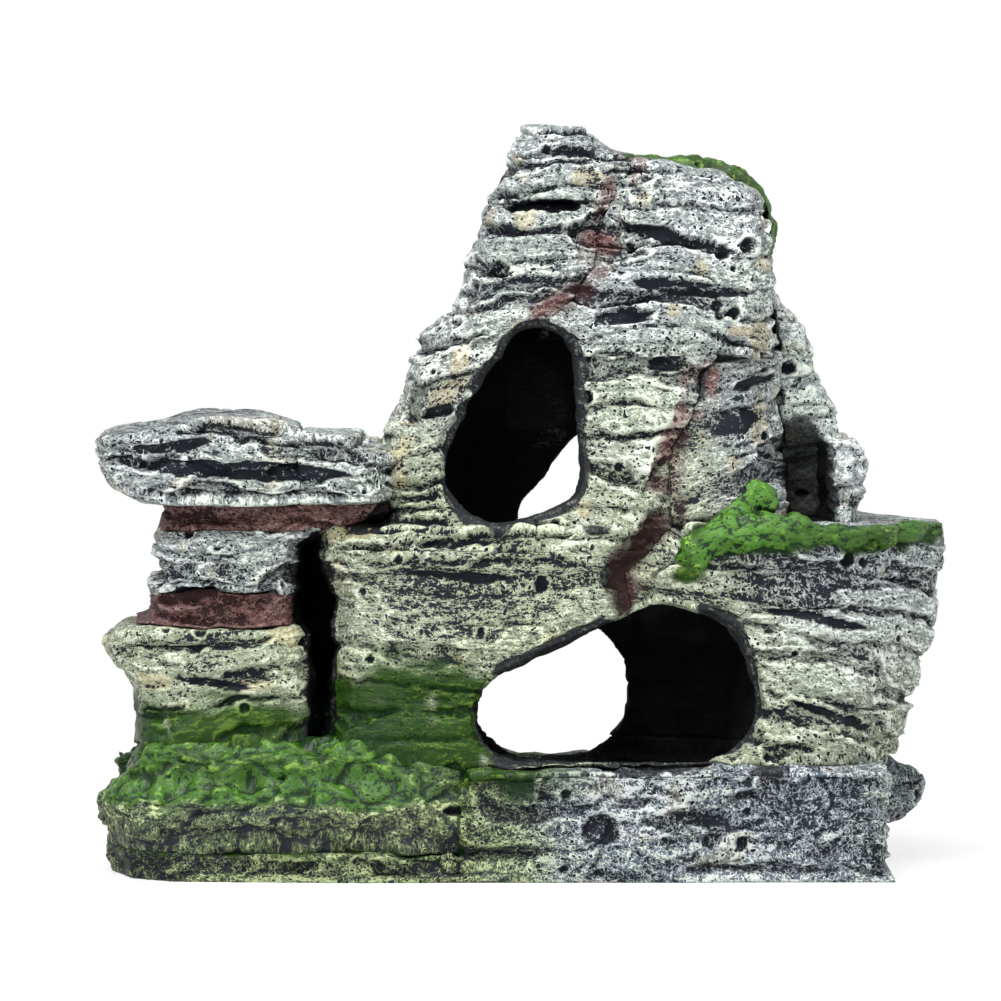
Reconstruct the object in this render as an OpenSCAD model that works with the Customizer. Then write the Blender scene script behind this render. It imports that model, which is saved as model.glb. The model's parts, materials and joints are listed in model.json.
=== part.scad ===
// Cave ornament for an aquarium: hollow resin castings bonded into a cliff with an arch and a window.
// X runs along the front from left to right, Y from front to back, and Z up from the tank's floor.
// The origin lies on the floor, under the middle of the ornament.

/* [Foot] */
// Length of the foot from end to end
foot_w = 117.7; // [110:0.5:126]
// Depth of the foot from front to back
foot_d = 64; // [60:0.5:72]
// Height of the foot's top, which carries the walls
foot_h = 16.5; // [15:0.5:20]
// Thickness of the foot under the cave
floor_h = 12.5; // [9:0.5:14]

/* [Cave] */
// Height of the cave block above the foot
cave_h = 34.8; // [33:0.2:40]
// Depth of the cave block at its foot
cave_d = 55; // [50:0.5:58]
// Overhang of the buttress's tip past the foot
tip_over = 9.1; // [6:0.1:11]
// Thickness of the cast walls
wall = 4; // [3:0.25:5]
// Width of the low arch in front
arch_w = 43; // [36:0.5:45]
// Height of the low arch in front
arch_h = 25; // [21:0.5:27]
// Width of the arch in the rear wall
rear_arch_w = 25; // [18:0.5:28]
// Height of the arch in the rear wall
rear_arch_h = 22.5; // [18:0.5:24]

/* [Peak] */
// Width of the peak where it rises from the cave block
peak_w = 61; // [57:0.5:65]
// Depth of the peak where it rises from the cave block
peak_d = 46; // [42:0.5:48]
// Height of the peak above the cave block
peak_h = 58.7; // [54:0.1:65]
// Depth of the peak at its summit
summit_d = 22; // [18:0.5:28]
// Width of the leaning window
window_w = 20.8; // [16:0.2:22]
// Height of the leaning window
window_h = 30.4; // [26:0.2:32]
// Width of the window in the rear wall
rear_window_w = 21.5; // [16:0.5:24]
// Height of the window in the rear wall
rear_window_h = 23; // [18:0.5:25]

/* [Turret] */
// Width of the stack of stones on the left
turret_w = 24; // [20:0.5:26]
// Depth of the stack of stones on the left
turret_d = 29; // [24:0.5:32]
// Width of the dark crack between the stack and the cave wall
crack_w = 3.5; // [2.5:0.25:5]
// Height of the stack's foot stone
turret_foot_h = 20.2; // [17:0.2:24]
// Height of the lower red band
lower_band_h = 4.2; // [3:0.2:6]
// Height of the middle stone
middle_stone_h = 9.9; // [8:0.1:12]
// Height of the upper red band
upper_band_h = 4; // [3:0.2:6]
// Height of the slab on the stack
turret_cap_h = 12.6; // [11:0.2:15]
// Overhang of the slab past the stack's left side
cap_over = 6.8; // [4:0.1:8]

/* [Moss] */
// How far the moss bank stands out past the foot's left end
bank_over = 1.3; // [0.5:0.1:2.5]
// How far the moss bank stands out in front of the foot
bank_front = 2; // [1:0.1:4]
// Height of the moss bank's crest above the foot's top
bank_rise = 5.5; // [4:0.25:8]
// Height of the moss on the shelf, the tip and the summit
moss_h = 2.8; // [2:0.2:4]

/* [Bonding] */
// Width of the bonded seams between castings
bond_gap = 0.2; // [0.1:0.05:0.4]
// Height of the two open slits in the peak's left side
slit_h = 1.4; // [0.8:0.1:2]
// Depth of the two open slits
slit_depth = 7; // [4:0.5:9]

/* [Rock] */
// Thickness of one layer of rock
layer_h = 3.6; // [2.8:0.2:5]
// How far the broken edges of the layers wander in and out
bite = 1.5; // [0.5:0.1:2]
// How far an opening narrows through its wall
flare = 1.6; // [0.5:0.1:2.2]

/* [Hidden] */
FAR = 200;

// The ornament's overall outline, centred on the origin
total_w = bank_over + foot_w + tip_over;
total_d = bank_front + foot_d;
foot_x0 = bank_over - total_w / 2;
foot_x1 = foot_x0 + foot_w;
foot_y0 = bank_front - total_d / 2;
foot_y1 = foot_y0 + foot_d;
tip_x = foot_x1 + tip_over;
seat_z = 4;
seat_w = 5;
seat_d = 28;

// Stack of stones
turret_inset = 6.4;
turret_x0 = foot_x0 + turret_inset;
turret_x1 = turret_x0 + turret_w;
turret_y0 = foot_y0 + 7;
turret_y1 = turret_y0 + turret_d;
lower_band_z = foot_h + turret_foot_h;
middle_z = lower_band_z + lower_band_h;
upper_band_z = middle_z + middle_stone_h;
cap_z = upper_band_z + upper_band_h;
cap_top_z = cap_z + turret_cap_h;
cap_x0 = turret_x0 - cap_over;

// Rocks at the rear and side
boulder_h = 12.5;
boulder_d = 20;
boulder_y0 = foot_y0 + 20;
pinnacle_y0 = foot_y0 + 30;
pebble_r = 3;

// Cave block
cave_x0 = turret_x1 + crack_w;
cave_z1 = foot_h + cave_h;
cave_y0 = foot_y0 + 3;
cave_y1 = cave_y0 + cave_d;
split_y = (cave_y0 + cave_y1) / 2;
front_y1 = split_y - bond_gap / 2;
rear_y0 = split_y + bond_gap / 2;
cave_lean = 3;
arch_x = cave_x0 + 43.4;
arch_z = foot_h - 0.3;
rear_arch_x = arch_x - 10;

// Peak
shoulder_w = 7.5;
peak_x0 = cave_x0 + shoulder_w;
peak_x1 = peak_x0 + peak_w;
peak_z1 = cave_z1 + peak_h;
peak_y0 = cave_y0 + cave_lean + 1.5;
peak_y1 = peak_y0 + peak_d;
summit_y0 = peak_y0 + 14;
summit_y1 = summit_y0 + summit_d;
hollow_z1 = cave_z1 + 0.57 * peak_h;
window_x = peak_x0 + 0.322 * peak_w;
window_z = cave_z1 + 0.3;
rear_window_x = window_x + 11.5;
rear_window_z = window_z - 8.9;

// Levels of the seams, and how far the flank stands back and the right crown stands out
front_seam_z = window_z - 3.7;
rear_seam_z = rear_window_z - 2.5;
flank_back = 3;
crown_out = 1;
slit_low_z = cave_z1 + 0.639 * peak_h;
slit_high_z = cave_z1 + 0.807 * peak_h;

// A place on the peak's front view, from shares of its width and height
function on_peak(u, v) = [peak_x0 + u * peak_w, cave_z1 + v * peak_h];

// The red crevice, from the window up to the summit
CREVICE = [
  on_peak(0.414, 0.51), on_peak(0.494, 0.588), [on_peak(0.522, 0).x, slit_low_z], on_peak(0.543, 0.74),
  [on_peak(0.571, 0).x, slit_high_z], on_peak(0.634, 0.94), on_peak(0.72, 1.2)
];
// The red gully, from the arch up past the centre stone
GULLY = [
  [arch_x + 1.6, arch_z + arch_h - 1.5], [arch_x + 0.6, front_seam_z - 3.6], [arch_x + 4.6, front_seam_z],
  [arch_x + 7.6, cave_z1], on_peak(0.709, 0.124), on_peak(0.716, 0.2), on_peak(0.758, 0.247),
  on_peak(0.78, 0.307), on_peak(0.794, 0.38), on_peak(0.824, 0.43)
];
arch_heart = [arch_x, arch_z + arch_h / 2];
window_heart = [window_x, window_z + window_h / 2];
window_crown = [window_x + 2, window_z + window_h * 0.8];
crown_seam = on_peak(1.3, 0.39);

// Edges of each rock, as [height, place]
function foot_left() = [[0, foot_x0 + 1.5], [3, foot_x0], [7, foot_x0 - 0.4], [10, foot_x0], [foot_h, foot_x0 + 1.5]];
function foot_right() = [[0, foot_x1 - 0.5], [7, foot_x1], [foot_h, foot_x1 - 0.5]];
function cave_left() = [
  [foot_h, cave_x0], [foot_h + 0.7 * cave_h, cave_x0 + 1.5], [foot_h + 0.86 * cave_h, cave_x0 - 1.5],
  [cave_z1, cave_x0 + 1]
];
function cave_right() = [
  [foot_h, foot_x1 + 0.18 * tip_over], [foot_h + 0.25 * cave_h, foot_x1 + 0.42 * tip_over],
  [foot_h + 0.55 * cave_h, foot_x1 + 0.7 * tip_over], [foot_h + 0.8 * cave_h, foot_x1 + 0.88 * tip_over],
  [foot_h + 0.97 * cave_h, tip_x], [cave_z1, tip_x - 1]
];
function cave_front() = [[foot_h, cave_y0], [cave_z1, cave_y0 + cave_lean]];
function cave_back() = [[foot_h, cave_y1], [cave_z1, cave_y1 - cave_lean]];
function peak_left() = [
  for (s = [
    [-0.2, 0], [0.21, 0.006], [0.25, 0.035], [0.3, 0.06], [0.463, 0.081], [0.49, 0.157], [0.564, 0.18],
    [0.69, 0.229], [0.777, 0.265], [0.84, 0.281], [0.903, 0.293], [0.978, 0.337], [1, 0.353]
  ]) [cave_z1 + s[0] * peak_h, peak_x0 + s[1] * peak_w]
];
function peak_right() = [
  for (s = [
    [-0.2, 0], [0.165, 0.003], [0.486, 0.021], [0.66, 0.04], [0.78, 0.036], [0.85, 0.057], [0.884, 0.138],
    [0.901, 0.36], [0.94, 0.433], [1, 0.482]
  ]) [cave_z1 + s[0] * peak_h, peak_x1 - s[1] * peak_w]
];
function boulder_left() = [[0, peak_x1 + 5.5]];
function boulder_right() = [
  [cave_z1, peak_x1 + 10], [cave_z1 + 0.3 * boulder_h, peak_x1 + 11.8],
  [cave_z1 + 0.7 * boulder_h, peak_x1 + 12.5], [cave_z1 + boulder_h, peak_x1 + 11]
];
function peak_front() = [[cave_z1, peak_y0], [cave_z1 + 0.5 * peak_h, peak_y0 + 5], [peak_z1, summit_y0]];
function peak_back() = [[cave_z1, peak_y1], [peak_z1, summit_y1]];

// Plans of the rocks, as shares of half their width and half their depth
BLOCK = [
  [-1, -0.45], [-0.93, -0.8], [-0.7, -0.96], [-0.3, -1], [0.15, -1], [0.55, -0.99], [0.85, -0.85],
  [1, -0.5], [1, 0.4], [0.8, 0.85], [0.35, 1], [-0.35, 1], [-0.8, 0.85], [-1, 0.35]
];
CAVE_PLAN = [
  [-1, -0.7], [-0.93, -0.93], [-0.6, -1], [-0.2, -1], [0.2, -1], [0.55, -0.97], [0.8, -0.85], [1, -0.5],
  [1, 0.1], [0.75, 0.75], [0.3, 1], [-0.5, 1], [-0.9, 0.85], [-1, 0.5]
];
FOOT_PLAN = [
  [-1, 0.1], [-0.99, -0.5], [-0.93, -0.82], [-0.82, -0.97], [-0.4, -1], [0, -1], [0.4, -1], [0.8, -1],
  [0.99, -0.97], [1, -0.7], [1, 0.3], [0.85, 0.8], [0.5, 1], [-0.5, 1], [-0.85, 0.7]
];

// One level outline: the plan between four edges, each corner broken back by its own bite
function ring(plan, x0, x1, y0, y1, z, bites) = [
  for (i = [0 : len(plan) - 1])
    let (p = plan[i], out = bites[i] * p / norm(p))
      [x0 + (x1 - x0) * (1 + p.x) / 2 - out.x, y0 + (y1 - y0) * (1 + p.y) / 2 - out.y, z]
];

// A rock built of layers between four edges, each layer a little out of line with the next.
// It can be grown outward on every side, which makes the space that a neighbour leaves for it.
module rock(left, right, front, back, z0, z1, plan = BLOCK, seed = 1, depth = bite, grow = 0, layer = layer_h) {
  layers = ceil((z1 - z0) / layer);
  n = len(plan);
  for (i = [0 : layers - 1]) {
    bites = rands(-depth / 2, depth / 2, 2 * n, 100 * seed + i);
    points = [
      for (end = [0, 1])
        let (
          level = i + end,
          z = z0 + (z1 - z0) * level / layers,
          out_z = level == 0 ? -grow : level == layers ? grow : 0,
          x0 = lookup(z, left) - grow,
          x1 = lookup(z, right) + grow,
          y0 = lookup(z, front) - grow,
          y1 = lookup(z, back) + grow
        )
          each ring(plan, x0, x1, y0, y1, z + out_z, [for (k = [0 : n - 1]) bites[k + end * n]])
    ];
    hull()
      polyhedron(points, [[for (k = [0 : 2 * n - 1]) k]]);
  }
}

// The whole foot
module foot_mass(grow = 0) {
  rock(foot_left(), foot_right(), [[0, foot_y0]], [[0, foot_y1]], 0, foot_h, FOOT_PLAN, 11, grow = grow);
}

// The foot with the step in its front left corner that seats the moss bank
module seated_foot(grow = 0) {
  difference() {
    foot_mass(grow);
    translate([foot_x0 - 5, foot_y0 - 5, seat_z + grow])
      cube([arch_x - arch_w / 2 - 2 - foot_x0 + 5 - grow, 5 + seat_w - grow, FAR]);
    translate([foot_x0 - 5, foot_y0 - 5, seat_z + grow]) cube([5 + seat_w - grow, 5 + seat_d - grow, FAR]);
  }
}

// The block that the cave is in
module cave_mass(grow = 0) {
  rock(cave_left(), cave_right(), cave_front(), cave_back(), foot_h, cave_z1, CAVE_PLAN, 23, grow = grow);
}

// The peak on the block, whose front can be set back or out
module peak_mass(grow = 0, set_back = 0) {
  front = [for (p = peak_front()) [p[0], p[1] + set_back]];
  rock(peak_left(), peak_right(), front, peak_back(), rear_seam_z, peak_z1, BLOCK, 37, grow = grow);
}

// The peak with the rim of the cave block that it rises from
module block_mass() {
  peak_mass();
  cave_mass();
}

// The hollow inside: the cave, and the chimney that rises from it into the peak
module hollow() {
  cave_in_x1 = arch_x + arch_w / 2 + wall;
  rock(
    [[0, cave_x0 + wall]], [[0, cave_in_x1]], [for (p = cave_front()) [p[0], p[1] + wall]],
    [for (p = cave_back()) [p[0], p[1] - wall]], floor_h, cave_z1 - wall, CAVE_PLAN, depth = 0, layer = 9
  );
  rock(
    [for (p = peak_left()) [p[0], p[1] + wall]], [for (p = peak_right()) [p[0], p[1] - wall]],
    [for (p = peak_front()) [p[0], p[1] + wall]], [for (p = peak_back()) [p[0], p[1] - wall]],
    cave_z1 - wall - 1, hollow_z1, depth = 0, layer = 9
  );
}

// Front-view outline of the arch: wide and low, with its brow to the right
module arch_outline() {
  low = arch_h * 0.29;
  high = arch_h * 0.375;
  brow = arch_h * 0.3;
  hull() {
    translate([arch_x - arch_w / 2 + low, arch_z + low + 0.5]) circle(low, $fn = 28);
    translate([arch_x + arch_w / 2 - high, arch_z + high]) circle(high, $fn = 28);
    translate([arch_x + arch_w * 0.14, arch_z + arch_h - brow]) circle(brow, $fn = 28);
    translate([arch_x + arch_w * 0.28, arch_z + arch_h - brow - 1.2]) circle(brow * 0.9, $fn = 28);
  }
}

// Front-view outline of the window: a leaning egg, wide at its foot
module window_outline() {
  low = window_w * 0.45;
  high = window_w * 0.295;
  hull() {
    translate([window_x - window_w / 2 + low, window_z + low]) circle(low, $fn = 28);
    translate([window_x + window_w / 2 - high, window_z + window_h - high]) circle(high, $fn = 28);
    translate([window_x + window_w * 0.3, window_z + window_w * 0.32]) circle(window_w * 0.2, $fn = 28);
  }
}

// Front-view outline of the rear arch
module rear_arch_outline() {
  corner = rear_arch_w * 0.42;
  for_x = rear_arch_w / 2 - corner;
  hull()
    for (side = [-1, 1])
      for (z = [corner, rear_arch_h - corner])
        translate([rear_arch_x + side * for_x, floor_h + 0.5 + z]) circle(corner, $fn = 28);
}

// Front-view outline of the rear window: a blunt triangle
module rear_window_outline() {
  corner = rear_window_h * 0.28;
  low = rear_window_z + corner;
  high = rear_window_z + rear_window_h - corner;
  hull() {
    translate([rear_window_x - rear_window_w / 2 + corner, low]) circle(corner, $fn = 28);
    translate([rear_window_x + rear_window_w * 0.13, high]) circle(corner, $fn = 28);
    translate([rear_window_x + rear_window_w / 2 - corner, low + corner * 0.3]) circle(corner, $fn = 28);
  }
}

// Stands a front-view outline up between two depths
module stand(y0, y1) {
  translate([0, max(y0, y1), 0]) rotate([90, 0, 0]) linear_extrude(abs(y1 - y0)) children();
}

// Cuts an outline in from one side: straight to the wall, narrowing through it, and on to the middle
module opening(outer_y, into) {
  inner_y = outer_y + into * (wall + 1);
  stand(outer_y - into * FAR, outer_y) children();
  hull() {
    stand(outer_y - 0.1, outer_y + 0.1) children();
    stand(inner_y - 0.1, inner_y + 0.1) offset(delta = -flare) children();
  }
  stand(inner_y, split_y + into * 0.5) offset(delta = -flare) children();
}

// Both openings in front and both behind
module openings() {
  opening(cave_y0 + 1.5, 1) arch_outline();
  opening(peak_y0 + 3, 1) window_outline();
  opening(cave_y1 - 1.5, -1) rear_arch_outline();
  opening(peak_y1 - 2, -1) rear_window_outline();
}

// The space of one casting: a front-view outline less half a seam, between two depths
module cell(outline, y0 = -FAR, y1 = FAR) {
  stand(y0, y1) offset(delta = -bond_gap / 2) polygon(outline);
}

// A wandering groove in the front face, along points given in the front view
module groove(points, y0, y1, r) {
  for (i = [0 : len(points) - 2])
    hull()
      for (k = [i, i + 1]) {
        share = k / (len(points) - 1);
        translate([points[k].x, y0 + (y1 - y0) * share, points[k].y]) sphere(r, $fn = 10);
      }
}

// An open slit in the peak's left side, closing towards its inner edge
module slit(z, x1) {
  y0 = lookup(z, peak_front());
  x0 = lookup(z, peak_left());
  hull() {
    translate([x0 - 5, y0 - 5, z - slit_h / 2]) cube([x1 - x0 + 5, 5, slit_h]);
    translate([x0 - 5, y0 + slit_depth, z - 0.2]) cube([x1 - x0 + 2, 0.1, 0.4]);
  }
}

// Cuts the hollow, the openings and the grooves out of a casting
module hollowed() {
  difference() {
    children();
    hollow();
    openings();
    groove(CREVICE, peak_y0 + 3.5, summit_y0, 2.2);
    groove(GULLY, cave_y0 + cave_lean - 0.5, peak_y0 + 4, 2.6);
    slit(slit_low_z, on_peak(0.3, 0).x);
    slit(slit_high_z, on_peak(0.53, 0).x);
  }
}

// The layered foot under everything, with the cave's floor in it
module base_plinth() {
  color("#4a4e54")
    difference() {
      seated_foot();
      hollow();
      openings();
    }
}

// The wall left of and above the arch, down to the foot
module cave_wall_front() {
  outline = [
    [-FAR, foot_h], [arch_x, foot_h], arch_heart, GULLY[0], GULLY[1], GULLY[2], [-FAR, front_seam_z]
  ];
  color("#8f9484")
    hollowed() intersection() {
      cave_mass();
      cell(outline, y1 = front_y1);
    }
}

// The slab right of the arch, which leans out to the tip
module right_buttress() {
  outline = [
    [arch_x, foot_h], [FAR, foot_h], [FAR, cave_z1 + 1], [GULLY[3].x, cave_z1 + 1], GULLY[3], GULLY[2],
    GULLY[1], GULLY[0], arch_heart
  ];
  color("#858a80")
    hollowed() intersection() {
      cave_mass();
      cell(outline, y1 = front_y1);
    }
}

// The rear wall of the cave, with a wing that closes the crack behind the stack
module cave_wall_rear() {
  wing_y0 = turret_y1 + bond_gap;
  outline = [
    [-FAR, foot_h], [FAR, foot_h], [FAR, cave_z1 + 1], [peak_x1 + 2, cave_z1 + 1], [peak_x1 + 2, rear_seam_z],
    [-FAR, rear_seam_z]
  ];
  color("#6d7271") {
    hollowed() intersection() {
      cave_mass();
      cell(outline, rear_y0);
    }
    difference() {
      rock(
        [[0, turret_x1 - 14]], [[0, cave_x0 + wall]], [[0, wing_y0]], [[0, cave_y1 - 8]], foot_h + bond_gap,
        cap_z - bond_gap, seed = 51
      );
      hollow();
      cave_mass(grow = bond_gap);
    }
  }
}

// The peak's left stone, round the window's left side
module window_stone() {
  outline = [
    [-FAR, front_seam_z], [window_x + 5, front_seam_z], window_heart, window_crown, CREVICE[0], CREVICE[1],
    CREVICE[2], [-FAR, slit_low_z]
  ];
  color("#a4a694")
    hollowed() intersection() {
      block_mass();
      cell(outline, y1 = front_y1);
    }
}

// The stone between the window and the gully
module centre_stone() {
  outline = [
    [window_x + 5, front_seam_z], for (k = [2 : 9]) GULLY[k], window_crown, window_heart
  ];
  color("#a9a998")
    hollowed() intersection() {
      block_mass();
      cell(outline, y1 = front_y1);
    }
}

// The stones right of the gully, which stand back from the centre stone
module flank_stone() {
  outline = [
    GULLY[3], [FAR, cave_z1], [FAR, crown_seam.y], crown_seam, for (k = [9 : -1 : 4]) GULLY[k]
  ];
  color("#7d7673")
    hollowed() intersection() {
      peak_mass(set_back = flank_back);
      cell(outline, y1 = front_y1);
    }
}

// The rear wall of the peak, with the rear window
module peak_wall_rear() {
  outline = [
    [-FAR, rear_seam_z], [peak_x1 + 2, rear_seam_z], [peak_x1 + 2, crown_seam.y], crown_seam, GULLY[9],
    window_crown, CREVICE[0], CREVICE[1], CREVICE[2], [-FAR, slit_low_z]
  ];
  color("#6f7472")
    hollowed() intersection() {
      block_mass();
      cell(outline, rear_y0);
    }
}

// The block between the two slits
module crown_left() {
  color("#b0b2a6")
    hollowed() intersection() {
      peak_mass();
      cell([[-FAR, slit_low_z], CREVICE[2], CREVICE[3], CREVICE[4], [-FAR, slit_high_z]]);
    }
}

// The block right of the crevice, which stands a little out
module crown_right() {
  outline = [
    window_crown, GULLY[9], crown_seam, [FAR, crown_seam.y], [FAR, peak_z1], CREVICE[6], CREVICE[5],
    CREVICE[4], CREVICE[3], CREVICE[2], CREVICE[1], CREVICE[0]
  ];
  color("#9ea29b")
    hollowed() intersection() {
      peak_mass(set_back = -crown_out);
      cell(outline);
    }
}

// The block above the upper slit
module summit_cap() {
  color("#b9baae")
    hollowed() intersection() {
      peak_mass();
      cell([[-FAR, slit_high_z], CREVICE[4], CREVICE[5], CREVICE[6], [-FAR, FAR]]);
    }
}

// The pinnacle's own rock, which stands on the cave block behind the flank
module pinnacle_rock(grow = 0) {
  z0 = cave_z1 + bond_gap;
  z1 = cave_z1 + 0.66 * peak_h;
  right = [
    [z0, peak_x1 + 8.5], [z0 + 0.25 * peak_h, peak_x1 + 8], [z0 + 0.45 * peak_h, peak_x1 + 4.5], [z1, peak_x1 - 3]
  ];
  back = [[z0, pinnacle_y0 + 17], [z1, pinnacle_y0 + 10]];
  rock([[0, peak_x1 - 8]], right, [[0, pinnacle_y0]], back, z0, z1, seed = 67, grow = grow);
}

// The pinnacle, cut back where the peak stands
module rear_pinnacle() {
  color("#bfc2c2")
    difference() {
      pinnacle_rock();
      peak_mass(grow = bond_gap);
    }
}

// The boulder at the pinnacle's foot
module rear_boulder() {
  z1 = cave_z1 + boulder_h;
  color("#b4b7b8")
    difference() {
      rock(
        boulder_left(), boulder_right(), [[0, boulder_y0]], [[0, boulder_y0 + boulder_d]],
        cave_z1 + bond_gap, z1, seed = 61, layer = boulder_h / 8
      );
      peak_mass(grow = bond_gap);
      pinnacle_rock(grow = bond_gap);
    }
}

// A small rock low on the right side, between the foot and the buttress
module side_pebble() {
  color("#5b6066")
    difference() {
      hull()
        for (p = [[0, 0, 0], [2.5, 3, 1.5], [1, 7, 0.5], [-1, 4, 2.5], [0.5, 5, -2]])
          translate([foot_x1 + 1.5, split_y + 4, foot_h - 7] + p) sphere(pebble_r, $fn = 10);
      foot_mass(grow = bond_gap);
      cave_mass(grow = bond_gap);
    }
}

// The stack of stones, cut into its courses
module stack_mass(grow = 0) {
  band_in = 2.6;
  left = [
    [foot_h, turret_x0 - 1], [foot_h + 0.55 * turret_foot_h, turret_x0 - 0.5],
    [lower_band_z - 3, turret_x0 - 5.8], [lower_band_z - 0.4, turret_x0 - 4], [lower_band_z, turret_x0 + 1.5],
    [middle_z, turret_x0 + 1.5], [middle_z + 0.4, turret_x0 + 0.8], [upper_band_z - 0.4, turret_x0 + 2.6],
    [upper_band_z, turret_x0 + 3.6], [cap_z, turret_x0 + 3.8]
  ];
  right = [
    [foot_h, turret_x1 + 2.8], [lower_band_z - 0.4, turret_x1 + 1.5], [lower_band_z, turret_x1 - 0.5],
    [middle_z, turret_x1 - 0.5], [middle_z + 0.4, turret_x1 + 0.2], [upper_band_z - 0.4, turret_x1],
    [upper_band_z, cave_x0 + 8], [cap_z, cave_x0 + 12]
  ];
  front = [
    [foot_h, turret_y0 - 2], [lower_band_z - 0.4, turret_y0 - 1], [lower_band_z, turret_y0 + band_in],
    [middle_z, turret_y0 + band_in], [middle_z + 0.4, turret_y0], [upper_band_z - 0.4, turret_y0],
    [upper_band_z, turret_y0 + band_in], [cap_z, turret_y0 + band_in]
  ];
  rock(left, right, front, [[0, turret_y1]], foot_h, cap_z, seed = 71, depth = bite * 0.7,
    grow = grow, layer = 2.2);
}

// One course of the stack between two levels
module course(z0, z1) {
  difference() {
    intersection() {
      stack_mass();
      cell([[-FAR, z0], [FAR, z0], [FAR, z1], [-FAR, z1]]);
    }
    cave_mass(grow = bond_gap);
    peak_mass(grow = bond_gap);
  }
}

// The stack's tall foot stone
module turret_foot() {
  color("#8c9183") course(foot_h, lower_band_z);
}

// The narrow red band on the foot stone
module turret_lower_band() {
  color("#7b4f49") course(lower_band_z, middle_z);
}

// The pale stone between the bands
module turret_middle_stone() {
  color("#9a9e98") course(middle_z, upper_band_z);
}

// The narrow red band under the slab
module turret_upper_band() {
  color("#8a5550") course(upper_band_z, cap_z);
}

// The slab over the stack, which reaches out on the left
module turret_cap() {
  left = [
    [cap_z, turret_x0 + 1], [cap_z + 0.27 * turret_cap_h, cap_x0 + 1.5],
    [cap_z + 0.6 * turret_cap_h, cap_x0], [cap_z + 0.82 * turret_cap_h, cap_x0 + 1.5],
    [cap_z + 0.85 * turret_cap_h, cap_x0 + 10], [cap_top_z, cap_x0 + 14]
  ];
  right = [[cap_z, turret_x1 + 3], [cap_z + 0.8 * turret_cap_h, turret_x1 + 3], [cap_top_z, turret_x1 - 5]];
  color("#a3a69d")
    difference() {
      intersection() {
        rock(
          left, right, [[0, turret_y0 - 3]], [[0, turret_y1 + 3]], cap_z, cap_top_z, seed = 83,
          layer = turret_cap_h / 8
        );
        cell([[-FAR, cap_z], [turret_x1, cap_z], [turret_x1, FAR], [-FAR, FAR]]);
      }
      cave_mass(grow = bond_gap);
      peak_mass(grow = bond_gap);
    }
}

// The stone that joins the slab to the peak
module turret_shoulder() {
  right = [[cap_z, cave_x0 + 10], [cap_z + 0.45 * turret_cap_h, cave_x0 + 11], [cap_top_z, cave_x0 + 2]];
  color("#969a8c")
    difference() {
      intersection() {
        rock(
          [[0, turret_x1 - 3]], right, [[0, turret_y0 - 1]], [[0, turret_y1 - 2]], cap_z,
          cap_top_z - 2.5, seed = 89, layer = turret_cap_h / 8
        );
        cell([[turret_x1, cap_z], [FAR, cap_z], [FAR, FAR], [turret_x1, FAR]]);
      }
      cave_mass(grow = bond_gap);
      peak_mass(grow = bond_gap);
    }
}

// Raised moss: a chain of lumps along points, each lump with its own size
module lumps(points, r, seed) {
  sizes = rands(0.8, 1, len(points), seed);
  for (i = [0 : len(points) - 2])
    hull()
      for (k = [i, i + 1])
        translate(points[k]) sphere(r * sizes[k], $fn = 10);
}

// Lumps laid on the rocks, less the rocks themselves
module moss() {
  color("#5d8a1f")
    difference() {
      children();
      seated_foot(grow = bond_gap);
      cave_mass(grow = bond_gap);
      peak_mass(grow = bond_gap, set_back = -crown_out);
      stack_mass(grow = bond_gap);
    }
}

// Moss that fills the seat in the foot's front left corner and laps up against the stack: a skirt
// of lumps that meets the foot's edge, a lip over it and a crest. Its right end is flush with the foot.
module moss_bank() {
  low_r = 5.6;
  high_r = 4.6;
  skirt_r = 4.6;
  x0 = foot_x0 - bank_over + low_r * 0.95;
  run = arch_x - arch_w / 2 - 4 - x0;
  y0 = foot_y0 - bank_front + low_r * 0.95;
  low_z = seat_z + low_r;
  skirt_z = seat_z + 0.6 * skirt_r;
  crest_z = foot_h + bank_rise - high_r;
  flush = bank_front / 3;
  moss()
    difference() {
      union() {
        lumps([
          [x0 + 1, y0 + seat_d - 6, skirt_z], [x0 + 0.5, y0 + seat_d / 2 - 1, skirt_z], [x0 + 2, y0 + 5, skirt_z],
          for (i = [0 : 7])
            [
              x0 + 4.5 + (run - 4.5) * i / 7, y0 + 0.6 + (i % 2) * 0.4 + flush * max(0, i - 5),
              skirt_z + (i % 3) * 0.4
            ]
        ], skirt_r, 6);
        lumps([
          [x0 + 0.6, y0 + seat_d - 6, low_z], [x0, y0 + seat_d / 2 - 1, low_z], [x0 + 1.5, y0 + 5, low_z + 1],
          for (i = [0 : 9])
            [x0 + 5 + (run - 5) * i / 9, y0 + (i % 2) * 0.8 + flush * max(0, i - 6), low_z + (i % 3) * 0.6]
        ], low_r, 5);
        lumps([
          [x0 + 2.5, y0 + 5, crest_z - 4],
          for (i = [0 : 9])
            [x0 + 6 + (run - 6) * i / 9, y0 + 2 + (i % 2), crest_z - (i % 3) * 0.5 - max(0, i - 6)]
        ], high_r, 8);
      }
      translate([-FAR, -FAR, seat_z + bond_gap - FAR]) cube([2 * FAR, 2 * FAR, FAR]);
    }
}

// Moss along the ledge at the flank's foot, with a tongue up the flank and one down the buttress
module moss_shelf() {
  edge = [GULLY[3].x, cave_y0 + cave_lean, cave_z1];
  moss() {
    lumps([
      for (p = [
        [2.6, -0.4, -5], [3, 0, -2.5], [5.5, -0.6, -1.5], [8, 0.2, 0], [10.5, -0.4, -1], [13, 0.5, 0.5],
        [15.5, 0, -0.8], [18, 1, 0.3]
      ]) edge + p
    ], moss_h * 1.15, 3);
    lumps([for (p = [[8, 1.5, 1.5], [10.5, 3.5, 3], [12, 4, 5.5], [14.5, 4.5, 4]]) edge + p], moss_h * 0.9, 9);
  }
}

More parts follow.
